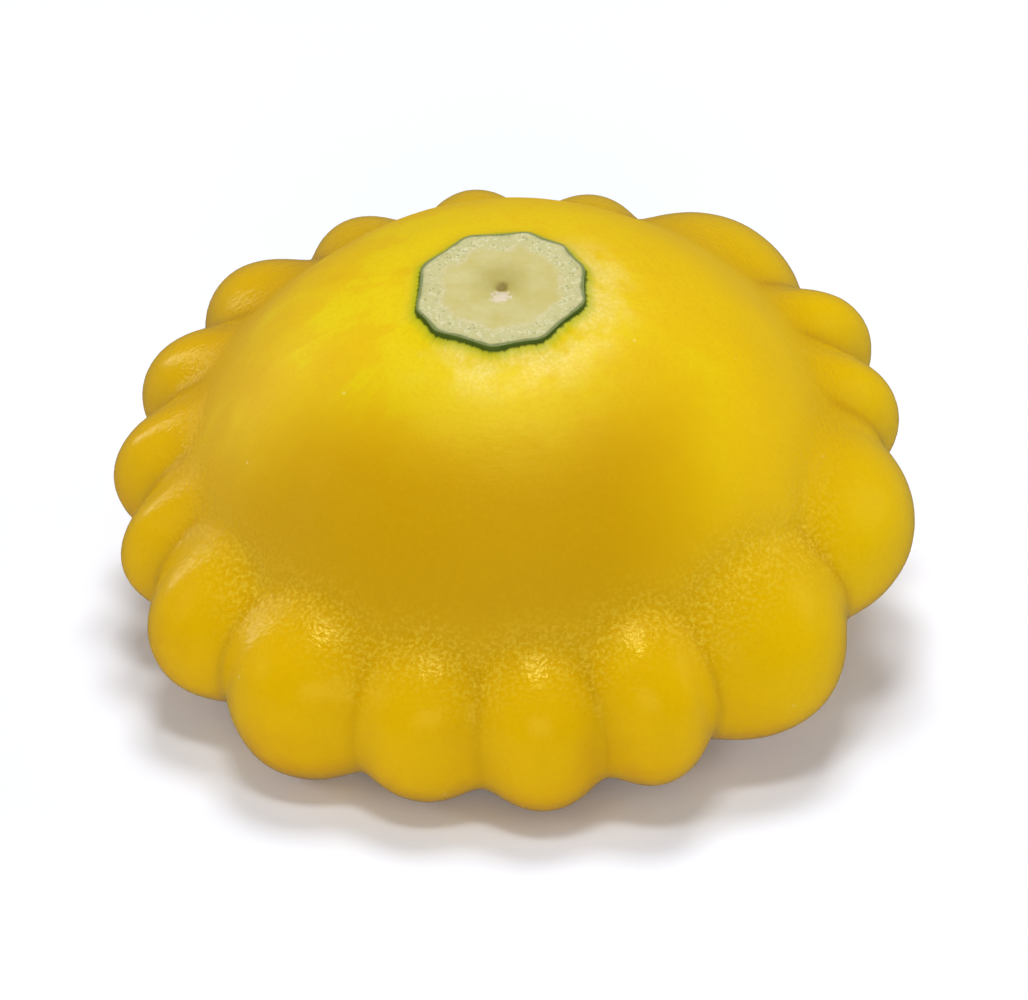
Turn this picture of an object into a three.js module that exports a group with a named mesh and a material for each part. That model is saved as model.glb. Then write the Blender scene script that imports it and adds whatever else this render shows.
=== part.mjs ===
import * as THREE from 'three';

// Pattypan squash, picked, with its stem cut short, lying a little tipped on a flat spot of its belly.
// Millimetres and degrees, +Z up. The origin is on the ground, under the middle of the whole squash.

// The fruit's body in its own frame: Z is its axis, the stem is up, and its rim is about level with Z = 0
const BODY_RADIUS = 39.8;
const DOME_HEIGHT = 32.2;
const BELLY_DEPTH = 23;
const DOME_POWER = 2;
const BELLY_POWER = 2;

// The lobes of the rim, anticlockwise seen from the stem, starting at FIRST_CREASE from +X.
// span is the angle from crease to crease, reach is the distance of the tip from the axis, level is
// the height of the middle, tall and deep are half the size upwards and outwards, and droop is the
// lean of the outer end downwards.
const FIRST_CREASE = 65;
const LOBES = [
  { span: 19, reach: 52.0, level: -1.0, tall: 10.5, deep: 12.0, droop: 10 },
  { span: 19, reach: 53.0, level: -1.0, tall: 10.5, deep: 12.0, droop: 10 },
  { span: 19, reach: 53.2, level: -1.0, tall: 10.5, deep: 13.0, droop: 12 },
  { span: 20, reach: 54.0, level: -1.0, tall: 10.5, deep: 13.0, droop: 12 },
  { span: 18, reach: 52.8, level: -1.5, tall: 10.5, deep: 13.0, droop: 15 },
  { span: 18, reach: 51.4, level: -2.0, tall: 10.5, deep: 13.0, droop: 15 },
  { span: 17, reach: 50.0, level: -2.5, tall: 10.0, deep: 13.0, droop: 15 },
  { span: 23, reach: 51.0, level: -3.0, tall: 10.5, deep: 13.0, droop: 12 },
  { span: 24, reach: 51.2, level: -3.5, tall: 11.5, deep: 11.0, droop: 0 },
  { span: 20, reach: 49.5, level: -3.5, tall: 10.5, deep: 10.0, droop: 0 },
  { span: 19, reach: 50.2, level: -3.5, tall: 10.5, deep: 10.0, droop: 0 },
  { span: 18, reach: 50.8, level: -2.5, tall: 11.0, deep: 11.0, droop: 0 },
  { span: 31, reach: 50.8, level: -3.0, tall: 12.0, deep: 15.0, droop: 20 },
  { span: 33, reach: 50.8, level: -1.5, tall: 11.0, deep: 14.0, droop: 15 },
  { span: 17, reach: 50.0, level: -1.0, tall: 10.5, deep: 12.0, droop: 10 },
  { span: 15, reach: 52.2, level: -0.5, tall: 10.5, deep: 12.0, droop: 10 },
  { span: 30, reach: 52.0, level: 0.0, tall: 12.0, deep: 13.0, droop: 10 },
];
const SPAN_RADIUS = 46;
const LOBE_OVERLAP = 1.13;

// How sharply shapes run into each other, per millimetre: lobe to lobe, and lobes to body
const CREASE_SHARPNESS = 0.7;
const VALLEY_SHARPNESS = 0.36;

// The stem stub stands on a flat seat at the top of the fruit. Its outline has ten ridges, given as
// angles from +X, with slightly hollow sides between them, and its cut face has a dimple.
const SEAT_HEIGHT = 30.7;
const SEAT_GAP = 0.3;
const STEM_RIDGES = [15, 42, 69, 110, 151, 195, 220, 262, 296, 339];
const STEM_RADIUS = 10.9;
const STEM_FOOT_RADIUS = 10.5;
const STEM_HOLLOW = 0.25;
const STEM_HEIGHT = 1.1;
const DIMPLE_RADIUS = 2.6;
const DIMPLE_DEPTH = 0.6;

// How the fruit lies: leaned towards -Y, to the side towards -X, turned about its own axis, and with
// the middle of its rim this high above the ground
const LEAN_FORWARD = 12;
const LEAN_SIDE = -3;
const TURN = 2;
const MIDDLE_HEIGHT = 22;

// Facets: rows from pole to pole, crowded together at the rim, and columns this many degrees apart
const ROWS = 36;
const ROW_CROWDING = 0.5;
const COLUMN_SPACING = 3.1;
const STEM_SIDE_STEPS = 4;
const STEM_FACE_RINGS = [1, 0.7, 0.42, 0.28, 0.17, 0.08];

const radians = THREE.MathUtils.degToRad;
const lying = new THREE.Euler(radians(LEAN_FORWARD), radians(LEAN_SIDE), radians(TURN), 'YXZ');
const rayStart = new THREE.Vector3(0, 0, 2);
const RAY_LENGTH = 75;
const RAY_STEPS = 30;

function placeLobes() {
  let crease = FIRST_CREASE;
  return LOBES.map((lobe) => {
    const start = radians(crease);
    const middle = radians(crease + lobe.span / 2);
    crease += lobe.span;
    return {
      ...lobe,
      start,
      cos: Math.cos(middle),
      sin: Math.sin(middle),
      wide: SPAN_RADIUS * Math.sin(radians(lobe.span / 2)) * LOBE_OVERLAP,
      droopCos: Math.cos(radians(lobe.droop)),
      droopSin: Math.sin(radians(lobe.droop)),
    };
  });
}

const lobes = placeLobes();

// Distances are negative inside a shape, and close to true ones near its surface
function bodyDistance(p) {
  const radius = Math.hypot(p.x, p.y);
  const height = p.z > 0 ? DOME_HEIGHT : BELLY_DEPTH;
  const power = p.z > 0 ? DOME_POWER : BELLY_POWER;
  const share = ((radius / BODY_RADIUS) ** power + (Math.abs(p.z) / height) ** power) ** (1 / power);
  return (1 - 1 / share) * p.length();
}

function lobeDistance(lobe, p) {
  const out = p.x * lobe.cos + p.y * lobe.sin - (lobe.reach - lobe.deep);
  const side = p.y * lobe.cos - p.x * lobe.sin;
  const up = p.z - lobe.level;
  const along = out * lobe.droopCos - up * lobe.droopSin;
  const across = up * lobe.droopCos + out * lobe.droopSin;
  const share = Math.hypot(along / lobe.deep, side / lobe.wide, across / lobe.tall);
  return (1 - 1 / share) * Math.hypot(out, side, up);
}

function blend(distances, sharpness) {
  const nearest = Math.min(...distances);
  const sum = distances.reduce((total, d) => total + Math.exp(sharpness * (nearest - d)), 0);
  return nearest - Math.log(sum) / sharpness;
}

function fruitDistance(p) {
  const rim = blend(lobes.map((lobe) => lobeDistance(lobe, p)), CREASE_SHARPNESS);
  return blend([bodyDistance(p), rim], VALLEY_SHARPNESS);
}

function alongRay(direction, length) {
  return rayStart.clone().addScaledVector(direction, length);
}

// Where a ray from inside the fruit leaves it, no higher than the seat of the stem
function skinPoint(direction) {
  let inside = 0;
  let outside = RAY_LENGTH;
  for (let step = 0; step < RAY_STEPS; step += 1) {
    const middle = (inside + outside) / 2;
    if (fruitDistance(alongRay(direction, middle)) < 0) {
      inside = middle;
    } else {
      outside = middle;
    }
  }
  const point = alongRay(direction, inside);
  if (point.z <= SEAT_HEIGHT) {
    return point;
  }
  return alongRay(direction, (SEAT_HEIGHT - rayStart.z) / direction.z);
}

function laid(point) {
  const turned = point.clone().applyEuler(lying);
  turned.z += MIDDLE_HEIGHT;
  return turned;
}

// The same point as the fruit lies, with what would be below the ground drawn back along its ray
function groundedPoint(point) {
  const start = laid(rayStart);
  const end = laid(point);
  if (end.z >= 0) {
    return end;
  }
  end.lerpVectors(start, end, start.z / (start.z - end.z));
  end.z = 0;
  return end;
}

// A closed skin over rings of points, which run anticlockwise seen from above, between two end points
function closedSkin(top, rings, bottom) {
  const count = rings[0].length;
  const points = [top, ...rings.flat(), bottom];
  const at = (ring, column) => 1 + ring * count + (column % count);
  const faces = [];
  for (let column = 0; column < count; column += 1) {
    faces.push(0, at(0, column), at(0, column + 1));
    for (let ring = 0; ring + 1 < rings.length; ring += 1) {
      faces.push(at(ring, column), at(ring + 1, column), at(ring, column + 1));
      faces.push(at(ring + 1, column), at(ring + 1, column + 1), at(ring, column + 1));
    }
    faces.push(points.length - 1, at(rings.length - 1, column + 1), at(rings.length - 1, column));
  }
  const geometry = new THREE.BufferGeometry().setFromPoints(points);
  geometry.setIndex(faces);
  geometry.computeVertexNormals();
  return geometry;
}

function rowAngle(row) {
  const share = row / ROWS;
  return Math.PI * share + (ROW_CROWDING / 2) * Math.sin(2 * Math.PI * share);
}

function columnAngles() {
  return lobes.flatMap((lobe) => {
    const steps = 2 * Math.round(lobe.span / COLUMN_SPACING / 2);
    return Array.from({ length: steps }, (_, step) => lobe.start + radians((lobe.span * step) / steps));
  });
}

function fruitGeometry() {
  const columns = columnAngles();
  const skinAt = (fromAxis, around) => {
    const flat = Math.sin(fromAxis);
    const direction = new THREE.Vector3(flat * Math.cos(around), flat * Math.sin(around), Math.cos(fromAxis));
    return groundedPoint(skinPoint(direction));
  };
  const rings = [];
  for (let row = 1; row < ROWS; row += 1) {
    rings.push(columns.map((around) => skinAt(rowAngle(row), around)));
  }
  return closedSkin(skinAt(0, 0), rings, skinAt(Math.PI, 0));
}

function stemOutline(radius, height) {
  return STEM_RIDGES.flatMap((ridge, index) => {
    const last = index === STEM_RIDGES.length - 1;
    const next = last ? STEM_RIDGES[0] + 360 : STEM_RIDGES[index + 1];
    const from = new THREE.Vector3(Math.cos(radians(ridge)), Math.sin(radians(ridge)), 0);
    const to = new THREE.Vector3(Math.cos(radians(next)), Math.sin(radians(next)), 0);
    return Array.from({ length: STEM_SIDE_STEPS }, (_, step) => {
      const share = step / STEM_SIDE_STEPS;
      const point = from.clone().lerp(to, share).multiplyScalar(radius);
      point.setLength(point.length() - STEM_HOLLOW * Math.sin(Math.PI * share));
      point.z = height;
      return point;
    });
  });
}

function stemGeometry() {
  const foot = SEAT_HEIGHT + SEAT_GAP;
  const face = foot + STEM_HEIGHT;
  const dished = (point) => {
    const away = Math.hypot(point.x, point.y) / DIMPLE_RADIUS;
    return point.setZ(face - DIMPLE_DEPTH * Math.exp(-away * away));
  };
  const outline = stemOutline(STEM_RADIUS, face);
  const faceRings = STEM_FACE_RINGS.map((scale) => outline.map((p) => dished(p.clone().multiplyScalar(scale))));
  const rings = [...faceRings.reverse(), stemOutline(STEM_FOOT_RADIUS, foot)];
  return closedSkin(dished(new THREE.Vector3()), rings, new THREE.Vector3(0, 0, foot));
}

const skinMaterial = new THREE.MeshStandardMaterial({ color: 0xe0b404, roughness: 0.42, metalness: 0 });
const stemMaterial = new THREE.MeshStandardMaterial({ color: 0xcfc586, roughness: 0.75, metalness: 0 });

const fruit = new THREE.Mesh(fruitGeometry(), skinMaterial);
fruit.name = 'squash_fruit';

const stem = new THREE.Mesh(stemGeometry(), stemMaterial);
stem.name = 'stem_stub';
stem.setRotationFromEuler(lying);
stem.position.z = MIDDLE_HEIGHT;

const box = new THREE.Box3().setFromBufferAttribute(fruit.geometry.getAttribute('position'));
const middle = box.getCenter(new THREE.Vector3());

const squash = new THREE.Group();
squash.add(fruit, stem);
squash.position.set(-middle.x, -middle.y, 0);

export default squash;
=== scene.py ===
"""The looks of a pattypan squash: its skin and its cut stem, on a pale floor under soft studio light."""

import math

import bpy
import numpy as np
from mathutils import Matrix, Vector, noise


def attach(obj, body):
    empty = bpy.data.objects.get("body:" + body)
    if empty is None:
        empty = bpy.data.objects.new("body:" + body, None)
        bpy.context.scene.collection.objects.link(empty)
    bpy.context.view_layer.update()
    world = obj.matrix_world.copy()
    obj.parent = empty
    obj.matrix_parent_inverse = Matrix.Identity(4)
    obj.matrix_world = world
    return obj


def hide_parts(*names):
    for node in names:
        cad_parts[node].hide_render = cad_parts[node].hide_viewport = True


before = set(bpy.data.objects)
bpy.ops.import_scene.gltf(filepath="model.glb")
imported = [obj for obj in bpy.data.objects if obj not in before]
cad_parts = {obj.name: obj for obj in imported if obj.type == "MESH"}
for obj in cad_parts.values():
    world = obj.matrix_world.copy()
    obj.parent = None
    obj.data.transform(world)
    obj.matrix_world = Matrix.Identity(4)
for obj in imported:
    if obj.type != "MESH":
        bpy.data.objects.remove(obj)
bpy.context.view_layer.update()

MM = 0.001

# Shape of the fruit in its own frame, in millimetres and degrees, as in the part's source
BODY_RADIUS = 39.8
DOME_HEIGHT = 32.2
BELLY_DEPTH = 23
DOME_POWER = 2.0
BELLY_POWER = 2

# The lobes of the rim, anticlockwise seen from the stem: the span in degrees, how far the tip is from
# the axis, the height of the middle, half the size upwards and outwards, and the lean in degrees
FIRST_CREASE = 65
LOBES = [
    (19, 52.0, -1.0, 10.5, 12.0, 10),
    (19, 53.0, -1.0, 10.5, 12.0, 10),
    (19, 53.2, -1.0, 10.5, 13.0, 12),
    (20, 54.0, -1.0, 10.5, 13.0, 12),
    (18, 52.8, -1.5, 10.5, 13.0, 15),
    (18, 51.4, -2.0, 10.5, 13.0, 15),
    (17, 50.0, -2.5, 10.0, 13.0, 15),
    (23, 51.0, -3.0, 10.5, 13.0, 12),
    (24, 51.2, -3.5, 11.5, 11.0, 0),
    (20, 49.5, -3.5, 10.5, 10.0, 0),
    (19, 50.2, -3.5, 10.5, 10.0, 0),
    (18, 50.8, -2.5, 11.0, 11.0, 0),
    (31, 50.8, -3.0, 12.0, 15.0, 20),
    (33, 50.8, -1.5, 11.0, 14.0, 15),
    (17, 50.0, -1.0, 10.5, 12.0, 10),
    (15, 52.2, -0.5, 10.5, 12.0, 10),
    (30, 52.0, 0.0, 12.0, 13.0, 10),
]
SPAN_RADIUS = 46
LOBE_OVERLAP = 1.13
CREASE_SHARPNESS = 0.7
VALLEY_SHARPNESS = 0.36

SEAT_HEIGHT = 30.7
SEAT_GAP = 0.3
STEM_RIDGES = [15, 42, 69, 110, 151, 195, 220, 262, 296, 339]
STEM_RADIUS = 10.9
STEM_HOLLOW = 0.25
STEM_HEIGHT = 1.1

LEAN_FORWARD = 12
LEAN_SIDE = -3
TURN = 2
MIDDLE_HEIGHT = 22

# Finer than the part's source: rows from pole to pole, closer together at the rim and where the skin
# meets the stem, and columns per degree of a lobe's span
ROWS = 220
ROW_SAMPLES = 2000
RIM_CROWDING = 0.6
STEM_CROWDING = 3.0
STEM_EDGE_ANGLE = 0.363
STEM_EDGE_SPREAD = 0.06
COLUMNS_PER_DEGREE = 1.15
RAY_START = np.array([0.0, 0.0, 2.0])
RAY_NEAR = 12.0
RAY_FAR = 60.0
RAY_STEPS = 24

# The skin's own relief, in millimetres: how deep and how long each kind of wave is, the groove between
# dome and lobes, which is deeper in front, and the collar of skin that rises to meet the stem
RELIEF = [(0.75, 20.0), (0.22, 6.5), (0.04, 2.2)]
GROOVE_DEPTH = 0.3
GROOVE_DEPTH_IN_FRONT = 0.75
GROOVE_REACH = 2.6
GROOVE_FRONT = (-8, -26)
GROOVE_RISE = (-6, 0)
COLLAR_HEIGHT = 0.95
COLLAR_WIDTH = 1.8

# The scar of the blossom in the middle of the belly: a hollow, and a low ring round it
SCAR_RADIUS = 5.0
SCAR_DEPTH = 1.0
SCAR_HOLLOW = 3.2
SCAR_RING = 0.35
SCAR_RING_WIDTH = 0.8
SCAR_STEEPNESS = 4

# Where a small nick is, in the edge of the lobe at the front right
NICK = (45.6, -16.6, -7.4)

# How far, in millimetres, the marks of a crease and of the valley reach, where the body gives way to
# the rim, and at which heights the valley's mark comes in
CREASE_REACH = 1.0
VALLEY_REACH = 4.5
RIM_RANGE = (3, -1)
VALLEY_RISE = (-6, 2)

# The cut stem: its rings, how it is rounded, and the bowl, pit, pulp and roughness of its face
STEM_SIDE_STEPS = 16
STEM_ROUNDING = 6
STEM_FACE_RINGS = 40
STEM_FACE_START = 0.02
STEM_FACE_CROWDING = 0.8
STEM_FACE_SHARE = 0.985
STEM_SIDE_RINGS = 8
STEM_EDGE = [(0.03, 0.993), (0.10, 1.0)]
STEM_SUNK = 1.9
STEM_FOOT_SHARE = 1.01
BOWL_DEPTH = 0.45
BOWL_RADIUS = 3.0
PIT = (0.2, 0.8)
PIT_DEPTH = 0.5
PIT_RADIUS = 0.9
PULP = (0.0, -1.3)
PULP_HEIGHT = 0.25
PULP_RADIUS = 0.9
CUT_ROUGHNESS = 0.09
CUT_GRAIN = 1.1
CUT_SEED = 5

FACE_HEIGHT = SEAT_HEIGHT + SEAT_GAP + STEM_HEIGHT

# Colours of the skin and of the cut stem, as the shader takes them
LEMON = (0.740, 0.560, 0.000, 1.0)
YELLOW = (0.730, 0.470, 0.000, 1.0)
GOLDEN = (0.690, 0.400, 0.000, 1.0)
AMBER = (0.640, 0.330, 0.000, 1.0)
# Brown of the painted shade
SHADE_TAN = (0.530, 0.285, 0.000, 1.0)
# Colour of the painted glints
GLINT = (0.780, 0.560, 0.040, 1.0)
# Pale colour of the real specks and of the painted highlight in front of the stem
PALE_SPECK_AND_HIGHLIGHT = (0.850, 0.700, 0.220, 1.0)
HALO = (0.300, 0.360, 0.010, 1.0)
RIND = (0.050, 0.085, 0.002, 1.0)
RIND_LIGHT = (0.085, 0.130, 0.008, 1.0)
SCAR_TAN = (0.520, 0.360, 0.160, 1.0)
SCAR_BROWN = (0.250, 0.140, 0.050, 1.0)
CUT_STRAW = (0.500, 0.425, 0.120, 1.0)
CUT_PALE = (0.540, 0.480, 0.190, 1.0)
CUT_RIM = (0.490, 0.460, 0.210, 1.0)
CUT_VESSEL = (0.230, 0.250, 0.090, 1.0)
CUT_FLECK = (0.700, 0.680, 0.460, 1.0)
# Olive of the hollow in the cut: partly its own tone, partly painted shade
CUT_OLIVE = (0.330, 0.260, 0.020, 1.0)
CUT_PITH = (0.660, 0.560, 0.410, 1.0)
# Dark of the pit: painted shade
CUT_PIT = (0.200, 0.130, 0.003, 1.0)

# The marks of the skin. A SCALE says how fine a pattern is, mostly as repeats in a millimetre. TURNS
# and STRETCH spread one out round the fruit and outwards. A RANGE says where a mark begins and where
# it is full, in millimetres of the fruit's own frame or on a pattern's scale from 0 to 1. A SHARE says
# how strong a mark is at most, and a HEIGHT how far a pattern shifts one up or down.
NOISE_MIDDLE = 0.5
MOTTLE_SCALE = 0.07
MOTTLE_HEIGHT = 42.0
STREAK_TURNS = 9.0
STREAK_STRETCH = 0.09
STREAK_SCALE = 0.9
STREAK_HEIGHT = 15.0
# Heights of the colour bands: lemon by the stem to amber lower down, partly the skin's own colour and
# partly painted shade
GOLDEN_RANGE = (-16, 2)
YELLOW_RANGE = (13, 25)
LEMON_RANGE = (24, 31)
# Painted light: the upper skin is painted lighter yellow towards the right and back
PAINTED_LIGHT_SIDE = (0.8, 0.6)
PAINTED_LIGHT_RANGE = (-25, 35)
PAINTED_LIGHT_HEIGHT_RANGE = (-14, 0)
PAINTED_LIGHT_SHARE = 0.8
DOME_RADIUS_RANGE = (43, 36)
DOME_HEIGHT_RANGE = (2, 7)
# Painted shade, low on the dome's front and left
PAINTED_SHADE_FRONT_RANGE = (0, -22)
PAINTED_SHADE_SIDE_RANGE = (32, 8)
PAINTED_SHADE_HEIGHT_RANGE = (33, 22)
# Painted shade in the creases and in the valley round the dome, and its strongest share
CREASE_SHARE = 0.8
VALLEY_SHARE = 0.4
SHADED_SHARE = 0.85
FINE_SCALE = 1.6
FINE_RANGE = (0.45, 0.70)
FINE_SHARE = 0.22
# Painted glints: light grains in the front of the valley
GLINT_SCALE = 2.0
GLINT_RANGE = (0.42, 0.70)
GLINT_FRONT_RANGE = (-6, -24)
GLINT_SHARE = 0.5

# The painted highlight in front of the stem, the green fuzz and the dark line round the stem, by the
# distance from its outline
FUZZ_TURNS = 12.0
FUZZ_SCALE = 1.2
FUZZ_MIDDLE = 0.45
FUZZ_LENGTH = 1.3
# Painted highlight: pale grainy patches on the skin in front of the stem
PAINTED_HIGHLIGHT_GRAIN_SCALE = 2.2
PAINTED_HIGHLIGHT_GRAIN_RANGE = (0.40, 0.70)
PAINTED_HIGHLIGHT_SHARE = 0.35
PAINTED_HIGHLIGHT_GRAIN_SHARE = 0.5
PAINTED_HIGHLIGHT_RANGE = (8.0, 0.5)
PAINTED_HIGHLIGHT_SIDE_RANGE = (6, -8)
PAINTED_HIGHLIGHT_PATCH_SCALE = 0.22
PAINTED_HIGHLIGHT_PATCH_RANGE = (0.35, 0.60)
HALO_RANGE = (1.6, 0.0)
HALO_SHARE = 0.75
LINE_RANGE = (0.35, 0.0)

# Pale specks, the nick with its tan edge, and the blossom scar
SPECK_SCALE = 0.14
SPECK_RANGE = (0.05, 0.0)
SPECK_SHARE = 0.5
NICK_SCALE = 0.9
NICK_RAGGEDNESS = 1.4
NICK_EDGE_RANGE = (2.0, 1.3)
NICK_RANGE = (1.5, 1.0)
NICK_SHARE = 0.8
SCAR_SCALE = 1.2
SCAR_RANGE = (5.6, 4.6)
SCAR_HEIGHT_RANGE = (-10, -16)

# Shine of the skin, and its bumps: heights in metres, with how much of each shows
SKIN_IOR = 1.55
SKIN_SHINE_TINT = (1.0, 0.88, 0.22, 1.0)
SKIN_ROUGHNESS = 0.14
SHINE_SCALE = 0.5
SKIN_UNEVEN_SHINE = 0.12
DOME_DULLNESS = 0.27
RIPPLE_TURNS = 7.0
RIPPLE_STRETCH = 1.3
RIPPLE_SCALE = 0.9
RIPPLE_HEIGHT = 0.00005
RIPPLE_SHARE = 0.5
DIMPLE_SCALE = 1.5
DIMPLE_EVERYWHERE = 0.25
DIMPLE_IN_VALLEY = 0.9
DIMPLE_HEIGHT = 0.00020
DIMPLE_SHARE = 0.8

# The marks of the cut face: a pale rim with flecks and dots, an olive hollow partly darkened with painted
# shade, pulp and a pit painted dark as shade. How deep light goes into the flesh, and the height of its
# bumps, are in metres.
UNEVEN_SCALE = 0.55
FLESH_SCALE = 0.22
FLESH_RANGE = (0.35, 0.65)
CUT_RIM_UNEVENNESS = 2.0
CUT_RIM_RANGE = (-3.6, -2.2)
CUT_RIM_SHARE = 0.8
CUT_RING_PLACE = -3.0
CUT_RING_RANGE = (0.5, 0.1)
CUT_RING_GAP_SCALE = 0.8
CUT_RING_GAPS = (0.4, 0.65)
CUT_RING_SHARE = 0.3
FLECK_SCALE = 2.2
FLECK_RANGE = (0.52, 0.66)
FLECK_SHARE = 0.5
DOT_SCALE = 1.7
DOT_RANGE = (0.30, 0.16)
DOT_GAP_SCALE = 0.9
DOT_GAPS = (0.42, 0.55)
DOT_SHARE = 0.8
# The olive hollow: partly the flesh's own tone, partly painted shade on its far wall
OLIVE_PLACE = (0.0, 1.6)
OLIVE_RANGE = (4.6, 0.6)
OLIVE_SHARE = 0.6
PULP_CRUMBS_SCALE = 2.5
PULP_RAGGEDNESS = 3.0
PULP_RANGE = (1.5, 0.9)
PULP_SHARE = 0.85
# The pit, painted dark as shade
PIT_COLOUR_DEPTH = 0.9
PIT_RANGE = (1.15, 0.5)
PIT_SHARE = 0.8
EDGE_UNEVENNESS = 0.6
EDGE_RANGE = (-0.55, -0.2)
EDGE_SHARE = 0.8
SIDE_RANGE = (-0.02, -0.2)
SIDE_PLACE_RANGE = (-1.5, -0.5)
RIND_SCALE = 0.9
CUT_SHINE_SCALE = 1.3
CUT_DULLNESS = 0.5
CUT_UNEVEN_SHINE = 0.25
CUT_GLOW = 0.15
CUT_GLOW_REACH = (1.0, 0.7, 0.3)
CUT_GLOW_DEPTH = 0.001
CUT_BUMP_SCALE = 1.8
CUT_BUMP_HEIGHT = 0.00012
CUT_BUMP_SHARE = 0.6

# View: the photo's angle and distance, with the squash larger in the frame
CAMERA_ELEVATION = 31
CAMERA_DISTANCE = 0.9
PHOTO_WIDTH = 1028
PHOTO_PIXELS_PER_MM = 5.2
ENLARGED = 1.55
SENSOR_WIDTH = 36
AIM_BELOW_MIDDLE = 2.3
CLIP_END = 20

# Studio light: a soft box above and behind, a smaller one on top, a low strip in front and a tall one
# at the back left. The fills at both sides and in front light the squash, but shiny skin doesn't
# mirror them, nor the floor. Places and sizes are in metres, powers in watts.
FLOOR_SIZE = 6
FLOOR_WHITE = (0.90, 0.93, 1.0, 1.0)
FLOOR_ROUGHNESS = 0.9
FLOOR_SHINE = 0.1
WORLD_COLOUR = (1, 1, 1, 1)
WORLD_STRENGTH = 0.12
LIGHTS = [
    {"name": "overhead", "place": (0.04, 0.26, 0.72), "size": (0.30, 0.26), "power": 3.0},
    {"name": "top", "place": (-0.03, -0.14, 0.79), "size": (0.22, 0.12), "power": 1.65},
    {"name": "right", "place": (0.75, 0.10, 0.30), "size": (0.40, 0.30), "power": 2.0, "fill": True},
    {"name": "left", "place": (-0.75, -0.05, 0.28), "size": (0.40, 0.30), "power": 1.6, "fill": True},
    {"name": "front", "place": (0.0, -0.90, 0.26), "size": (0.80, 0.40), "power": 3.9, "fill": True},
    {"name": "low front", "place": (0.0, -0.85, 0.36), "size": (0.60, 0.30), "power": 0.4},
    {"name": "window", "place": (-0.62, 0.42, 0.30), "size": (0.08, 0.45), "power": 0.4},
]
FILL_TINT = (0.96, 0.99, 1.08)

radians = math.radians

# How the fruit lies, as one rotation
LYING = np.array(
    Matrix.Rotation(radians(LEAN_SIDE), 3, "Y")
    @ Matrix.Rotation(radians(LEAN_FORWARD), 3, "X")
    @ Matrix.Rotation(radians(TURN), 3, "Z")
)


def body_distance(p):
    radius = np.hypot(p[..., 0], p[..., 1])
    upper = p[..., 2] > 0
    height = np.where(upper, DOME_HEIGHT, BELLY_DEPTH)
    power = np.where(upper, DOME_POWER, BELLY_POWER)
    share = ((radius / BODY_RADIUS) ** power + (np.abs(p[..., 2]) / height) ** power) ** (1 / power)
    return (1 - 1 / share) * np.linalg.norm(p, axis=-1)


def lobe_distances(p):
    """One array for each lobe, in order round the rim."""
    distances = []
    crease = FIRST_CREASE
    for span, reach, level, tall, deep, droop in LOBES:
        middle = radians(crease + span / 2)
        crease += span
        wide = SPAN_RADIUS * math.sin(radians(span / 2)) * LOBE_OVERLAP
        out = p[..., 0] * math.cos(middle) + p[..., 1] * math.sin(middle) - (reach - deep)
        side = p[..., 1] * math.cos(middle) - p[..., 0] * math.sin(middle)
        up = p[..., 2] - level
        along = out * math.cos(radians(droop)) - up * math.sin(radians(droop))
        across = up * math.cos(radians(droop)) + out * math.sin(radians(droop))
        share = np.sqrt((along / deep) ** 2 + (side / wide) ** 2 + (across / tall) ** 2)
        distances.append((1 - 1 / share) * np.sqrt(out**2 + side**2 + up**2))
    return np.array(distances)


def blend(distances, sharpness):
    nearest = distances.min(axis=0)
    total = np.exp(sharpness * (nearest - distances)).sum(axis=0)
    return nearest - np.log(total) / sharpness


def fruit_distance(p):
    rim = blend(lobe_distances(p), CREASE_SHARPNESS)
    return blend(np.array([body_distance(p), rim]), VALLEY_SHARPNESS)


def smoothstep(low, high, x):
    t = np.clip((x - low) / (high - low), 0, 1)
    return t * t * (3 - 2 * t)


def wave(points, length, seed):
    """Smooth noise from 0 to 1 at each point, of about this wavelength."""
    shifted = (points / length + seed).reshape(-1, 3)
    values = np.array([noise.noise(Vector(p)) for p in shifted])
    return values.reshape(points.shape[:-1]) / 2 + 0.5


def row_angles():
    """The angle of each row of rays from the fruit's axis."""
    fine = np.linspace(0, np.pi, ROW_SAMPLES)
    at_stem = STEM_CROWDING * np.exp(-(((fine - STEM_EDGE_ANGLE) / STEM_EDGE_SPREAD) ** 2))
    passed = np.cumsum(1 + at_stem + RIM_CROWDING * np.sin(fine) ** 2)
    return np.interp(np.linspace(passed[0], passed[-1], ROWS + 1), passed, fine)


def beyond_stem(points):
    """How far outside the stem's outline each point of the upper skin is, in millimetres."""
    outline = stem_outline()
    angles = np.arctan2(outline[:, 1], outline[:, 0])
    around = np.arctan2(points[..., 1], points[..., 0])
    edge = np.interp(around, angles, np.hypot(*outline.T), period=2 * np.pi)
    away = np.hypot(points[..., 0], points[..., 1]) - edge
    return np.where(points[..., 2] > 0, away, BODY_RADIUS)


def groove(points):
    """How much deeper the skin is where the lobes meet the dome, in millimetres."""
    apart = (lobe_distances(points).min(axis=0) - body_distance(points)) / GROOVE_REACH
    in_front = smoothstep(*GROOVE_FRONT, points[..., 1])
    deep = GROOVE_DEPTH + (GROOVE_DEPTH_IN_FRONT - GROOVE_DEPTH) * in_front
    return deep * np.exp(-(apart**2)) * smoothstep(*GROOVE_RISE, points[..., 2])


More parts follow.
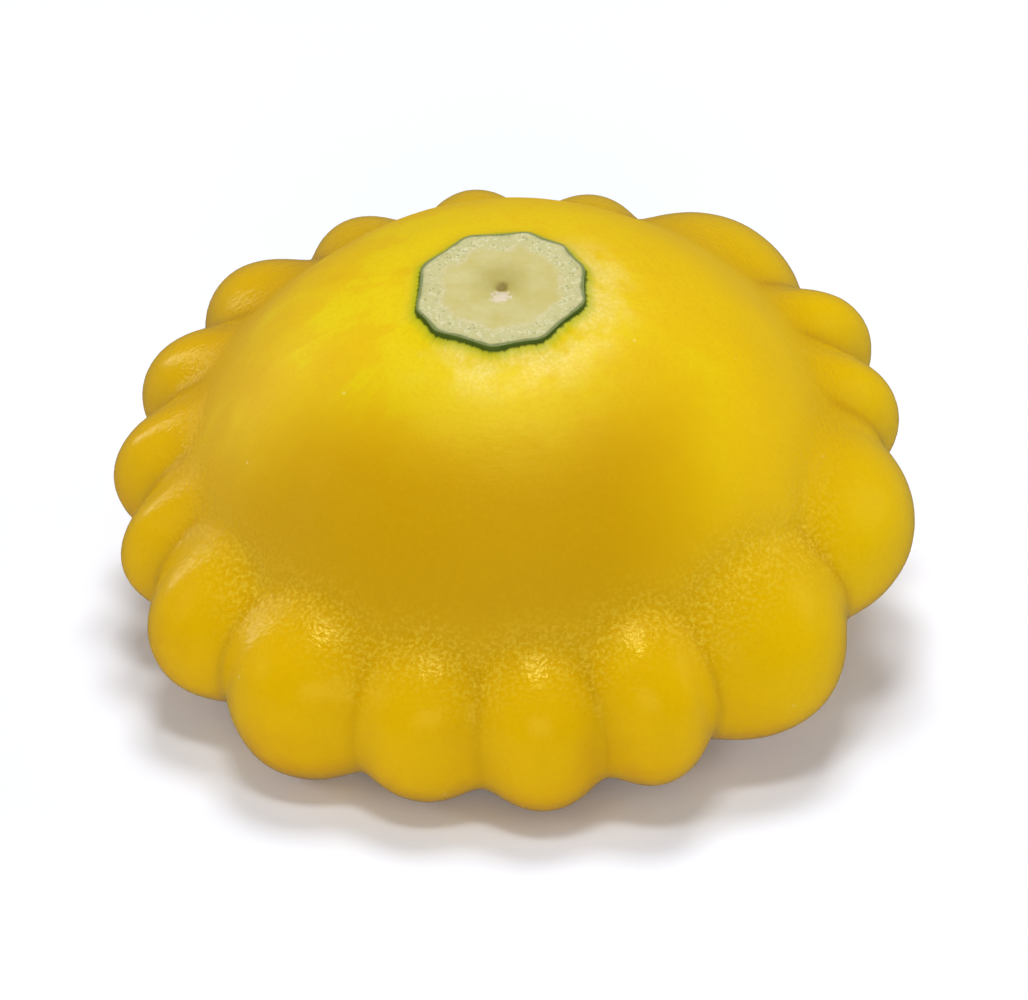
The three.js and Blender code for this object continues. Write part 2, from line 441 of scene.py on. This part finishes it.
def skin_points():
    """The fruit's skin on a grid of rays, in its own frame and in millimetres: rows by columns by 3."""
    around = []
    crease = FIRST_CREASE
    for span, *_ in LOBES:
        steps = round(span * COLUMNS_PER_DEGREE)
        around.extend(crease + span * step / steps for step in range(steps))
        crease += span
    around = np.radians(around)
    a, b = np.meshgrid(row_angles(), around, indexing="ij")
    rays = np.stack([np.sin(a) * np.cos(b), np.sin(a) * np.sin(b), np.cos(a)], axis=-1)
    near = np.full(a.shape, RAY_NEAR)
    far = np.full(a.shape, RAY_FAR)
    for _ in range(RAY_STEPS):
        middle = (near + far) / 2
        inside = fruit_distance(RAY_START + rays * middle[..., None]) < 0
        near = np.where(inside, middle, near)
        far = np.where(inside, far, middle)
    points = RAY_START + rays * near[..., None]
    depth = groove(points)
    for seed, (deep, length) in enumerate(RELIEF):
        depth = depth + deep * wave(points, length, seed)
    points = points - rays * depth[..., None]
    points[..., 2] = np.minimum(points[..., 2], SEAT_HEIGHT)
    points[..., 2] += COLLAR_HEIGHT * np.exp(-((beyond_stem(points) / COLLAR_WIDTH) ** 2))
    radius = np.hypot(points[..., 0], points[..., 1])
    scar = SCAR_DEPTH * np.exp(-((radius / SCAR_HOLLOW) ** SCAR_STEEPNESS))
    scar -= SCAR_RING * np.exp(-(((radius - SCAR_RADIUS) / SCAR_RING_WIDTH) ** 2))
    points[..., 2] += np.where(points[..., 2] < 0, scar, 0)
    return points


def laid(points):
    """Points of the fruit's own frame as it lies, still over its own middle, in millimetres."""
    return points @ LYING.T + np.array([0, 0, MIDDLE_HEIGHT])


def grounded(points):
    """What would be below the ground is drawn back along its ray."""
    start = laid(RAY_START)
    end = laid(points)
    share = np.where(end[..., 2] < 0, start[2] / (start[2] - end[..., 2]), 1)
    return start + (end - start) * share[..., None]


def closed_skin(name, rings, top, bottom, attributes):
    """A mesh over rings of points, with one point at each end. Attributes are for the same points."""
    rows, columns = rings.shape[:2]
    points = np.concatenate([[top], rings.reshape(-1, 3), [bottom]])
    last = len(points) - 1
    faces = []
    for column in range(columns):
        beside = (column + 1) % columns
        faces.append((0, 1 + column, 1 + beside))
        for row in range(rows - 1):
            upper = 1 + row * columns
            lower = upper + columns
            faces.append((upper + column, lower + column, lower + beside, upper + beside))
        end = 1 + (rows - 1) * columns
        faces.append((last, end + beside, end + column))
    mesh = bpy.data.meshes.new(name)
    mesh.from_pydata((points * MM).tolist(), [], faces)
    for label, values in attributes.items():
        layer = mesh.attributes.new(label, "FLOAT_VECTOR", "POINT")
        layer.data.foreach_set("vector", np.asarray(values, dtype=np.float32).ravel())
    mesh.shade_smooth()
    piece = bpy.data.objects.new(name, mesh)
    bpy.context.collection.objects.link(piece)
    return piece


def form_marks(points):
    """How near each point is to a crease between lobes and to the valley round the dome, from 0 to 1,
    and how far it is outside the stem's outline, in millimetres."""
    lobes = np.sort(lobe_distances(points), axis=0)
    body = body_distance(points)
    on_rim = smoothstep(*RIM_RANGE, lobes[0] - body)
    crease = np.exp(-(lobes[1] - lobes[0]) / CREASE_REACH) * on_rim
    valley = np.exp(-(((lobes[0] - body) / VALLEY_REACH) ** 2))
    valley = valley * smoothstep(*VALLEY_RISE, points[..., 2])
    return np.stack([crease, valley, beyond_stem(points)], axis=-1)


def ends_and_rings(grid):
    """The grid's first and last rows are one point each."""
    return np.concatenate([grid[:1, 0], grid[1:-1].reshape(-1, grid.shape[2]), grid[-1:, 0]])


def fruit_piece():
    own = skin_points()
    resting = grounded(own)
    flat = resting[..., :2].reshape(-1, 2)
    middle = np.append((flat.min(axis=0) + flat.max(axis=0)) / 2, 0)
    resting = resting - middle
    marks = {"own": ends_and_rings(own), "form": ends_and_rings(form_marks(own))}
    piece = closed_skin("squash_skin", resting[1:-1], resting[0, 0], resting[-1, 0], marks)
    return piece, middle


def stem_outline():
    """The stem's outline at the cut, anticlockwise from its first ridge, with slightly rounded corners."""
    points = []
    for index, ridge in enumerate(STEM_RIDGES):
        following = STEM_RIDGES[index + 1] if index + 1 < len(STEM_RIDGES) else STEM_RIDGES[0] + 360
        start = np.array([math.cos(radians(ridge)), math.sin(radians(ridge))])
        end = np.array([math.cos(radians(following)), math.sin(radians(following))])
        for step in range(STEM_SIDE_STEPS):
            share = step / STEM_SIDE_STEPS
            point = (start + (end - start) * share) * STEM_RADIUS
            points.append(point * (1 - STEM_HOLLOW * math.sin(math.pi * share) / np.linalg.norm(point)))
    points = np.array(points)
    for _ in range(STEM_ROUNDING):
        points = (np.roll(points, 1, axis=0) + 2 * points + np.roll(points, -1, axis=0)) / 4
    return points


def level_ring(outline, height):
    return np.column_stack([outline, np.full(len(outline), height)])


def hill(points, centre, radius):
    """1 at the centre, falling off smoothly."""
    return np.exp(-((np.hypot(*(points - centre).T) / radius) ** 2))


def cut_ring(outline):
    """A ring of the cut face: level, with its bowl, pit, pulp and fine roughness."""
    ring = level_ring(outline, FACE_HEIGHT)
    ring[:, 2] -= BOWL_DEPTH * hill(outline, (0, 0), BOWL_RADIUS)
    ring[:, 2] -= PIT_DEPTH * hill(outline, PIT, PIT_RADIUS)
    ring[:, 2] += PULP_HEIGHT * hill(outline, PULP, PULP_RADIUS)
    ring[:, 2] -= CUT_ROUGHNESS * wave(ring, CUT_GRAIN, CUT_SEED)
    return ring


def stem_rings():
    """Rings from the middle of the cut face, over its edge and down the side, into the skin."""
    outline = stem_outline()
    shares = np.linspace(STEM_FACE_START, 1, STEM_FACE_RINGS) ** STEM_FACE_CROWDING
    rings = [cut_ring(outline * share * STEM_FACE_SHARE) for share in shares]
    rings += [level_ring(outline * share, FACE_HEIGHT - drop) for drop, share in STEM_EDGE]
    edge_drop = STEM_EDGE[-1][0]
    for share in np.linspace(0, 1, STEM_SIDE_RINGS):
        widening = 1 + (STEM_FOOT_SHARE - 1) * share
        height = FACE_HEIGHT - edge_drop - (STEM_SUNK - edge_drop) * share
        rings.append(level_ring(outline * widening, height))
    return np.array(rings)


def stem_piece(middle):
    own = stem_rings()
    top = own[0].mean(axis=0)
    bottom = np.array([0, 0, own[-1, 0, 2]])
    places = np.concatenate([[top], own.reshape(-1, 3), [bottom]])
    beyond = beyond_stem(places)
    marks = {"own": places, "form": np.stack([0 * beyond, 0 * beyond, beyond], axis=-1)}
    return closed_skin("cut_stem", laid(own) - middle, laid(top) - middle, laid(bottom) - middle, marks)


class Look:
    """A material built node by node. An input is a plain value or another node's output."""

    def __init__(self, name):
        self.material = bpy.data.materials.new(name)
        self.material.use_nodes = True
        self.tree = self.material.node_tree
        self.shader = self.tree.nodes["Principled BSDF"]

    def put(self, node, socket, value):
        if isinstance(value, bpy.types.NodeSocket):
            self.tree.links.new(value, node.inputs[socket])
        else:
            node.inputs[socket].default_value = value

    def node(self, kind, inputs, output=0, **settings):
        made = self.tree.nodes.new(kind)
        for name, value in settings.items():
            setattr(made, name, value)
        for socket, value in inputs.items():
            self.put(made, socket, value)
        return made.outputs[output]

    def attribute(self, name):
        return self.node("ShaderNodeAttribute", {}, "Vector", attribute_name=name)

    def parts(self, vector):
        made = self.tree.nodes.new("ShaderNodeSeparateXYZ")
        self.put(made, 0, vector)
        return made.outputs[0], made.outputs[1], made.outputs[2]

    def vector(self, x, y, z):
        return self.node("ShaderNodeCombineXYZ", {0: x, 1: y, 2: z})

    def math(self, operation, a, b=0.0):
        return self.node("ShaderNodeMath", {0: a, 1: b}, operation=operation)

    def times(self, a, b):
        return self.math("MULTIPLY", a, b)

    def polar(self, vector):
        """The distance from the fruit's axis, and the angle round it in radians."""
        x, y = self.parts(vector)[:2]
        squares = self.math("ADD", self.times(x, x), self.times(y, y))
        return self.math("SQRT", squares), self.math("ARCTAN2", y, x)

    def step(self, low, high, value):
        """0 at low, 1 at high, smooth between; low may be the larger."""
        inputs = {"Value": value, "From Min": low, "From Max": high, "To Min": 0.0, "To Max": 1.0}
        return self.node("ShaderNodeMapRange", inputs, interpolation_type="SMOOTHSTEP")

    def mix(self, share, a, b):
        return self.node("ShaderNodeMix", {0: share, 6: a, 7: b}, 2, data_type="RGBA")

    def noise(self, vector, scale, detail=2.0, roughness=0.5):
        inputs = {"Vector": vector, "Scale": scale, "Detail": detail, "Roughness": roughness}
        return self.node("ShaderNodeTexNoise", inputs)

    def unevenness(self, vector, scale, detail=2.0, roughness=0.5):
        """Noise about zero."""
        return self.math("SUBTRACT", self.noise(vector, scale, detail, roughness), NOISE_MIDDLE)

    def cells(self, vector, scale):
        """The distance to the middle of the nearest of many scattered cells."""
        return self.node("ShaderNodeTexVoronoi", {"Vector": vector, "Scale": scale}, "Distance")

    def away(self, value, level):
        return self.math("ABSOLUTE", self.math("SUBTRACT", value, level))

    def distance(self, vector, place):
        return self.node("ShaderNodeVectorMath", {0: vector, 1: place}, "Value", operation="DISTANCE")

    def bump(self, height, distance, strength=1.0, normal=None):
        inputs = {"Height": height, "Distance": distance, "Strength": strength}
        if normal is not None:
            inputs["Normal"] = normal
        return self.node("ShaderNodeBump", inputs)


def ripe_colour(look, own):
    """Lemon by the stem and golden lower down, partly the skin's own colour and partly painted shade;
    mottled, with faint streaks, and painted lighter towards the right and back.
    """
    x, y, z = look.parts(own)
    radius, around = look.polar(own)
    mottle = look.unevenness(own, MOTTLE_SCALE, detail=3.0, roughness=0.6)
    level = look.math("ADD", z, look.times(mottle, MOTTLE_HEIGHT))
    turns = look.times(around, STREAK_TURNS)
    outwards = look.times(radius, STREAK_STRETCH)
    streak_place = look.vector(turns, outwards, 0.0)
    streak = look.unevenness(streak_place, STREAK_SCALE, detail=3.0, roughness=0.6)
    level = look.math("ADD", level, look.times(streak, STREAK_HEIGHT))
    # Bands by height: partly the skin's own colour, partly painted shade lower down
    colour = look.mix(look.step(*GOLDEN_RANGE, level), AMBER, GOLDEN)
    colour = look.mix(look.step(*YELLOW_RANGE, level), colour, YELLOW)
    colour = look.mix(look.step(*LEMON_RANGE, level), colour, LEMON)
    # Painted light: lighter yellow towards the right and back
    sideways, backwards = PAINTED_LIGHT_SIDE
    painted_light = look.math("ADD", look.times(x, sideways), look.times(y, backwards))
    painted_light = look.times(look.step(*PAINTED_LIGHT_RANGE, painted_light), look.step(*PAINTED_LIGHT_HEIGHT_RANGE, z))
    return look.mix(look.times(painted_light, PAINTED_LIGHT_SHARE), colour, YELLOW)


def dome_share(look, own):
    """1 on the dome, 0 on the lobes."""
    z = look.parts(own)[2]
    radius = look.polar(own)[0]
    return look.times(look.step(*DOME_RADIUS_RANGE, radius), look.step(*DOME_HEIGHT_RANGE, z))


def shaded_colour(look, own, colour, dome, crease, valley):
    """Painted shade: browner low on the dome's front, in the creases and in the valley round the dome."""
    x, y, z = look.parts(own)
    # Painted shade low on the dome's front
    front_shade = look.times(look.step(*PAINTED_SHADE_FRONT_RANGE, y), look.step(*PAINTED_SHADE_SIDE_RANGE, x))
    front_shade = look.times(front_shade, look.times(dome, look.step(*PAINTED_SHADE_HEIGHT_RANGE, z)))
    colour = look.mix(front_shade, colour, SHADE_TAN)
    # Painted shade in the creases and in the valley
    shaded = look.math("ADD", look.times(crease, CREASE_SHARE), look.times(valley, VALLEY_SHARE))
    return look.mix(look.math("MINIMUM", shaded, SHADED_SHARE), colour, SHADE_TAN)


def grained_colour(look, own, colour, valley):
    """Fine darker grain everywhere, and painted glints of light in the front of the valley."""
    y = look.parts(own)[1]
    fine = look.step(*FINE_RANGE, look.noise(own, FINE_SCALE, detail=3.0, roughness=0.6))
    colour = look.mix(look.times(fine, FINE_SHARE), colour, AMBER)
    # Painted glints
    glint = look.step(*GLINT_RANGE, look.noise(own, GLINT_SCALE, roughness=0.6))
    glint = look.times(glint, look.step(*GLINT_FRONT_RANGE, y))
    return look.mix(look.times(glint, look.times(valley, GLINT_SHARE)), colour, GLINT)


def stem_border_colour(look, own, colour, beyond):
    """Round the stem: a painted highlight in front, green fuzz, and a dark green line."""
    x, y = look.parts(own)[:2]
    around = look.polar(own)[1]
    fuzz_place = look.vector(look.times(around, FUZZ_TURNS), 0.0, 0.0)
    fuzz = look.noise(fuzz_place, FUZZ_SCALE, detail=3.0, roughness=0.7)
    fuzz = look.math("SUBTRACT", fuzz, FUZZ_MIDDLE)
    spread = look.math("SUBTRACT", beyond, look.times(fuzz, FUZZ_LENGTH))
    # Painted highlight: pale grainy patches on the skin in front of the stem
    grain = look.step(*PAINTED_HIGHLIGHT_GRAIN_RANGE, look.noise(own, PAINTED_HIGHLIGHT_GRAIN_SCALE, roughness=0.8))
    grain = look.math("ADD", PAINTED_HIGHLIGHT_SHARE, look.times(grain, PAINTED_HIGHLIGHT_GRAIN_SHARE))
    front = look.step(*PAINTED_HIGHLIGHT_SIDE_RANGE, look.math("SUBTRACT", y, x))
    painted_highlight = look.times(look.step(*PAINTED_HIGHLIGHT_RANGE, beyond), front)
    patches = look.step(*PAINTED_HIGHLIGHT_PATCH_RANGE, look.noise(own, PAINTED_HIGHLIGHT_PATCH_SCALE))
    painted_highlight = look.times(painted_highlight, patches)
    colour = look.mix(look.times(painted_highlight, grain), colour, PALE_SPECK_AND_HIGHLIGHT)
    colour = look.mix(look.times(look.step(*HALO_RANGE, spread), HALO_SHARE), colour, HALO)
    return look.mix(look.step(*LINE_RANGE, spread), colour, RIND)


def blemished_colour(look, own, colour):
    """Stray pale specks, the nick in a lobe, and the blossom scar."""
    z = look.parts(own)[2]
    radius = look.polar(own)[0]
    specks = look.times(look.step(*SPECK_RANGE, look.cells(own, SPECK_SCALE)), SPECK_SHARE)
    colour = look.mix(specks, colour, PALE_SPECK_AND_HIGHLIGHT)
    ragged = look.times(look.noise(own, NICK_SCALE), NICK_RAGGEDNESS)
    nicked = look.math("ADD", look.distance(own, NICK), ragged)
    colour = look.mix(look.times(look.step(*NICK_EDGE_RANGE, nicked), NICK_SHARE), colour, SCAR_TAN)
    colour = look.mix(look.times(look.step(*NICK_RANGE, nicked), NICK_SHARE), colour, CUT_PITH)
    scar = look.times(look.step(*SCAR_RANGE, radius), look.step(*SCAR_HEIGHT_RANGE, z))
    scar_colour = look.mix(look.noise(own, SCAR_SCALE, detail=3.0), SCAR_TAN, SCAR_BROWN)
    return look.mix(scar, colour, scar_colour)


def skin_roughness(look, own, dome):
    """The lobes are shiny, the dome is duller."""
    uneven = look.times(look.noise(own, SHINE_SCALE, detail=3.0), SKIN_UNEVEN_SHINE)
    rough = look.math("ADD", SKIN_ROUGHNESS, uneven)
    return look.math("ADD", rough, look.times(dome, DOME_DULLNESS))


def skin_bumps(look, own, valley):
    """Shallow ripples along the ribs, and fine dimples that are stronger in the valley."""
    z = look.parts(own)[2]
    radius, around = look.polar(own)
    turns = look.times(around, RIPPLE_TURNS)
    outwards = look.times(radius, RIPPLE_STRETCH)
    ripple_place = look.vector(turns, outwards, z)
    ripples = look.bump(look.noise(ripple_place, RIPPLE_SCALE), RIPPLE_HEIGHT, RIPPLE_SHARE)
    strength = look.math("ADD", DIMPLE_EVERYWHERE, look.times(valley, DIMPLE_IN_VALLEY))
    dimples = look.times(look.noise(own, DIMPLE_SCALE, roughness=0.55), strength)
    return look.bump(dimples, DIMPLE_HEIGHT, DIMPLE_SHARE, ripples)


def skin_look():
    """Yellow squash skin with a soft shine, green round the stem."""
    look = Look("squash_skin")
    own = look.attribute("own")
    crease, valley, beyond = look.parts(look.attribute("form"))
    dome = dome_share(look, own)
    colour = ripe_colour(look, own)
    colour = shaded_colour(look, own, colour, dome, crease, valley)
    colour = grained_colour(look, own, colour, valley)
    colour = stem_border_colour(look, own, colour, beyond)
    colour = blemished_colour(look, own, colour)
    look.put(look.shader, "Base Color", colour)
    look.put(look.shader, "Roughness", skin_roughness(look, own, dome))
    look.put(look.shader, "IOR", SKIN_IOR)
    look.put(look.shader, "Specular Tint", SKIN_SHINE_TINT)
    look.put(look.shader, "Normal", skin_bumps(look, own, valley))
    return look.material


def flesh_colour(look, own, uneven, beyond):
    """Straw-coloured flesh with a paler rim, which has a broken pith ring, flecks and vessels."""
    flesh = look.step(*FLESH_RANGE, look.noise(own, FLESH_SCALE, detail=4.0, roughness=0.6))
    colour = look.mix(flesh, CUT_STRAW, CUT_PALE)
    from_edge = look.math("ADD", beyond, look.times(uneven, CUT_RIM_UNEVENNESS))
    rim = look.step(*CUT_RIM_RANGE, from_edge)
    colour = look.mix(look.times(rim, CUT_RIM_SHARE), colour, CUT_RIM)
    ring = look.step(*CUT_RING_RANGE, look.away(from_edge, CUT_RING_PLACE))
    ring = look.times(ring, look.step(*CUT_RING_GAPS, look.noise(own, CUT_RING_GAP_SCALE)))
    colour = look.mix(look.times(ring, CUT_RING_SHARE), colour, CUT_PITH)
    flecks = look.step(*FLECK_RANGE, look.noise(own, FLECK_SCALE, roughness=0.7))
    flecks = look.times(flecks, rim)
    colour = look.mix(look.times(flecks, FLECK_SHARE), colour, CUT_FLECK)
    dots = look.times(look.step(*DOT_RANGE, look.cells(own, DOT_SCALE)), rim)
    dots = look.times(dots, look.step(*DOT_GAPS, look.noise(own, DOT_GAP_SCALE)))
    return look.mix(look.times(dots, DOT_SHARE), colour, CUT_VESSEL)


def middle_colour(look, own, colour, uneven):
    """The middle of the cut: an olive hollow, partly its own tone and partly painted shade, crumbly pulp
    in front of the pit, and the pit, painted dark as shade.
    """
    olive_place = (*OLIVE_PLACE, FACE_HEIGHT)
    pulp_place = (*PULP, FACE_HEIGHT)
    pit_place = (*PIT, FACE_HEIGHT - PIT_COLOUR_DEPTH)
    # Olive hollow, partly painted shade
    hollow = look.math("ADD", look.distance(own, olive_place), uneven)
    hollow = look.times(look.step(*OLIVE_RANGE, hollow), OLIVE_SHARE)
    colour = look.mix(hollow, colour, CUT_OLIVE)
    crumbly = look.unevenness(own, PULP_CRUMBS_SCALE, roughness=0.7)
    crumbs = look.math("ADD", look.distance(own, pulp_place), look.times(crumbly, PULP_RAGGEDNESS))
    colour = look.mix(look.times(look.step(*PULP_RANGE, crumbs), PULP_SHARE), colour, CUT_PITH)
    # Painted shade in the pit
    pit = look.math("ADD", look.distance(own, pit_place), uneven)
    return look.mix(look.times(look.step(*PIT_RANGE, pit), PIT_SHARE), colour, CUT_PIT)


def rind_colour(look, own, colour, uneven, beyond):
    """A green edge to the cut, and dark green rind down the side."""
    z = look.parts(own)[2]
    edge = look.math("ADD", beyond, look.times(uneven, EDGE_UNEVENNESS))
    colour = look.mix(look.times(look.step(*EDGE_RANGE, edge), EDGE_SHARE), colour, RIND_LIGHT)
    side = look.step(*SIDE_RANGE, look.math("SUBTRACT", z, FACE_HEIGHT))
    side = look.times(side, look.step(*SIDE_PLACE_RANGE, beyond))
    rind = look.mix(look.noise(own, RIND_SCALE, detail=3.0), RIND, RIND_LIGHT)
    return look.mix(side, colour, rind)


def stem_look():
    """The cut stem: pale moist flesh in a dark green rind."""
    look = Look("cut_stem")
    own = look.attribute("own")
    beyond = look.parts(look.attribute("form"))[2]
    uneven = look.unevenness(own, UNEVEN_SCALE, detail=3.0)
    colour = flesh_colour(look, own, uneven, beyond)
    colour = middle_colour(look, own, colour, uneven)
    colour = rind_colour(look, own, colour, uneven, beyond)
    look.put(look.shader, "Base Color", colour)
    rough = look.times(look.noise(own, CUT_SHINE_SCALE), CUT_UNEVEN_SHINE)
    look.put(look.shader, "Roughness", look.math("ADD", CUT_DULLNESS, rough))
    look.put(look.shader, "Subsurface Weight", CUT_GLOW)
    look.put(look.shader, "Subsurface Radius", CUT_GLOW_REACH)
    look.put(look.shader, "Subsurface Scale", CUT_GLOW_DEPTH)
    bumps = look.noise(own, CUT_BUMP_SCALE, detail=3.0, roughness=0.6)
    look.put(look.shader, "Normal", look.bump(bumps, CUT_BUMP_HEIGHT, CUT_BUMP_SHARE))
    return look.material


def floor_look():
    look = Look("floor")
    look.put(look.shader, "Base Color", FLOOR_WHITE)
    look.put(look.shader, "Roughness", FLOOR_ROUGHNESS)
    look.put(look.shader, "Specular IOR Level", FLOOR_SHINE)
    return look.material


def make_camera(middle):
    """It looks at the fruit from the photo's height, straight at the part that the photo shows."""
    elevation = radians(CAMERA_ELEVATION)
    back = Vector((0, -math.cos(elevation), math.sin(elevation)))
    up = Vector((0, math.sin(elevation), math.cos(elevation)))
    aim = Vector((-middle[0] * MM, -middle[1] * MM, MIDDLE_HEIGHT * MM)) - up * AIM_BELOW_MIDDLE * MM
    data = bpy.data.cameras.new("camera")
    data.sensor_width = SENSOR_WIDTH
    seen_width = PHOTO_WIDTH / PHOTO_PIXELS_PER_MM / ENLARGED * MM
    data.lens = SENSOR_WIDTH * CAMERA_DISTANCE / seen_width
    data.clip_end = CLIP_END
    camera = bpy.data.objects.new("camera", data)
    camera.location = aim + back * CAMERA_DISTANCE
    camera.rotation_euler = back.to_track_quat("Z", "Y").to_euler()
    bpy.context.collection.objects.link(camera)
    bpy.context.scene.camera = camera


def area_light(name, place, size, power, fill=False):
    """A soft rectangular light that faces the squash. Shiny skin doesn't mirror a fill light."""
    data = bpy.data.lights.new(name, "AREA")
    data.shape = "RECTANGLE"
    data.size, data.size_y = size
    data.energy = power
    light = bpy.data.objects.new(name, data)
    light.location = place
    light.rotation_euler = Vector(place).to_track_quat("Z", "Y").to_euler()
    if fill:
        data.color = FILL_TINT
        light.visible_glossy = False
    bpy.context.collection.objects.link(light)


def make_stage():
    bpy.ops.mesh.primitive_plane_add(size=FLOOR_SIZE)
    floor = bpy.context.object
    floor.name = "floor"
    floor.visible_glossy = False
    floor.data.materials.append(floor_look())
    world = bpy.data.worlds.new("studio")
    world.use_nodes = True
    background = world.node_tree.nodes["Background"]
    background.inputs["Color"].default_value = WORLD_COLOUR
    background.inputs["Strength"].default_value = WORLD_STRENGTH
    bpy.context.scene.world = world
    for light in LIGHTS:
        area_light(**light)


def main():
    fruit, middle = fruit_piece()
    make_camera(middle)
    fruit.data.materials.append(skin_look())
    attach(fruit, "root")
    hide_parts("squash_fruit")
    stem = stem_piece(middle)
    stem.data.materials.append(stem_look())
    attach(stem, "root")
    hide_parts("stem_stub")
    make_stage()
    bpy.context.scene.view_settings.view_transform = "Standard"


main()
